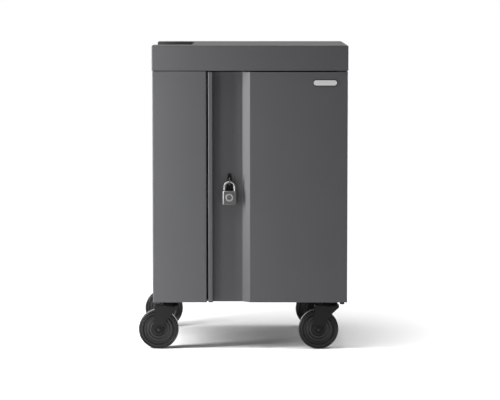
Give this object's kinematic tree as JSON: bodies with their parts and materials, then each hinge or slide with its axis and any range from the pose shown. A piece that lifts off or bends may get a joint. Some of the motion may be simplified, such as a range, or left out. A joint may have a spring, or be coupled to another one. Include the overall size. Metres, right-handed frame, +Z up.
{
  "type": "laptop charging cart",
  "caption": "Steel laptop charging cart on swivel casters: pivoted door with a folded channel and padlock, slotted tiers inside, charger bay with outlets, hand notch in the top cover.",
  "frame": {"origin": "on the floor, under the middle of the bounding box", "axes": "+Z up, the front with the door faces -Y, +X to the right seen from the front"},
  "size_m": [0.6642, 0.5738, 0.967],
  "materials": {
    "cabinet_paint": "satin charcoal powder coat",
    "black_moulding": "fine moulded grain",
    "zinc_steel": "bright zinc plate",
    "plate_metal": "brushed, bare",
    "shackle_steel": "polished",
    "padlock_steel": "satin dark grey",
    "key_brass": "satin",
    "dark_steel": "blackened",
    "black_paint": "black enamel",
    "wheel_plastic": "moulded",
    "tyre_rubber": "matt"
  },
  "bodies": {
    "cabinet": {"left_side_panel": "cabinet_paint", "right_side_panel": "cabinet_paint", "base_pan": "cabinet_paint", "roof_panel": "cabinet_paint", "back_panel": "cabinet_paint", "bay_partition": "cabinet_paint", "middle_shelf": "cabinet_paint", "top_cover": "cabinet_paint", "lower_slot_rack": "black_moulding", "upper_slot_rack": "black_moulding", "lower_outlet_strip": "black_moulding", "upper_outlet_strip": "black_moulding", "power_inlet": "black_moulding", "notch_liner": "black_moulding", "push_grip": "black_moulding", "lock_strike": "zinc_steel", "upper_hinge_plate": "dark_steel", "upper_hinge_pin": "dark_steel", "lower_hinge_pin": "dark_steel", "front_left_caster_plate": "black_paint", "front_left_bearing": "black_paint", "front_left_king_pin": "dark_steel", "front_right_caster_plate": "black_paint", "front_right_bearing": "black_paint", "front_right_king_pin": "dark_steel", "rear_left_caster_plate": "black_paint", "rear_left_bearing": "black_paint", "rear_left_king_pin": "dark_steel", "rear_right_caster_plate": "black_paint", "rear_right_bearing": "black_paint", "rear_right_king_pin": "dark_steel"},
    "door": {"door_panel": "cabinet_paint", "door_stiffener": "cabinet_paint", "upper_hinge_bush": "black_moulding", "lower_hinge_bush": "black_moulding", "lock_tab": "black_paint", "name_plate": "plate_metal"},
    "shackle": {"padlock_shackle": "shackle_steel"},
    "padlock": {"padlock_body": "padlock_steel", "padlock_ring": "shackle_steel"},
    "key_plug": {"padlock_key_plug": "key_brass"},
    "front_left_swivel": {"front_left_fork": "black_paint", "front_left_axle": "dark_steel"},
    "front_left_roller": {"front_left_wheel": "wheel_plastic", "front_left_tyre": "tyre_rubber"},
    "front_right_swivel": {"front_right_fork": "black_paint", "front_right_axle": "dark_steel"},
    "front_right_roller": {"front_right_wheel": "wheel_plastic", "front_right_tyre": "tyre_rubber"},
    "rear_left_swivel": {"rear_left_fork": "black_paint", "rear_left_axle": "dark_steel"},
    "rear_left_roller": {"rear_left_wheel": "wheel_plastic", "rear_left_tyre": "tyre_rubber"},
    "rear_right_swivel": {"rear_right_fork": "black_paint", "rear_right_axle": "dark_steel"},
    "rear_right_roller": {"rear_right_wheel": "wheel_plastic", "rear_right_tyre": "tyre_rubber"}
  },
  "joints": [
    {"name": "door_hinge", "type": "hinge", "parent": "cabinet", "child": "door", "pos_m": [0.3216, -0.2764, 0.52], "axis": [0, 0, 1], "range_deg": [0, 110]},
    {"name": "padlock_swing", "type": "hinge", "parent": "door", "child": "shackle", "pos_m": [-0.0422, -0.2724, 0.5364], "axis": [-1, 0, 0], "range_deg": [-1.5, 75]},
    {"name": "padlock_release", "type": "slide", "parent": "shackle", "child": "padlock", "axis": [0, 0, -1], "range_m": [0, 0.01]},
    {"name": "key_turn", "type": "hinge", "parent": "padlock", "child": "key_plug", "pos_m": [-0.0422, -0.2724, 0.4647], "axis": [0, 0, 1], "range_deg": [0, 90]},
    {"name": "front_left_caster_swivel", "type": "hinge", "parent": "cabinet", "child": "front_left_swivel", "pos_m": [-0.2322, -0.2411, 0.148], "axis": [0, 0, 1], "continuous": true},
    {"name": "front_left_wheel_roll", "type": "hinge", "parent": "front_left_swivel", "child": "front_left_roller", "pos_m": [-0.2686, -0.2411, 0.0635], "axis": [0, 1, 0], "continuous": true},
    {"name": "front_right_caster_swivel", "type": "hinge", "parent": "cabinet", "child": "front_right_swivel", "pos_m": [0.2774, -0.2411, 0.148], "axis": [0, 0, 1], "continuous": true},
    {"name": "front_right_wheel_roll", "type": "hinge", "parent": "front_right_swivel", "child": "front_right_roller", "pos_m": [0.241, -0.2411, 0.0635], "axis": [0, 1, 0], "continuous": true},
    {"name": "rear_left_caster_swivel", "type": "hinge", "parent": "cabinet", "child": "rear_left_swivel", "pos_m": [-0.2322, 0.2403, 0.148], "axis": [0, 0, 1], "continuous": true},
    {"name": "rear_left_wheel_roll", "type": "hinge", "parent": "rear_left_swivel", "child": "rear_left_roller", "pos_m": [-0.2686, 0.2403, 0.0635], "axis": [0, 1, 0], "continuous": true},
    {"name": "rear_right_caster_swivel", "type": "hinge", "parent": "cabinet", "child": "rear_right_swivel", "pos_m": [0.2774, 0.2403, 0.148], "axis": [0, 0, 1], "continuous": true},
    {"name": "rear_right_wheel_roll", "type": "hinge", "parent": "rear_right_swivel", "child": "rear_right_roller", "pos_m": [0.241, 0.2403, 0.0635], "axis": [0, 1, 0], "continuous": true}
  ]
}
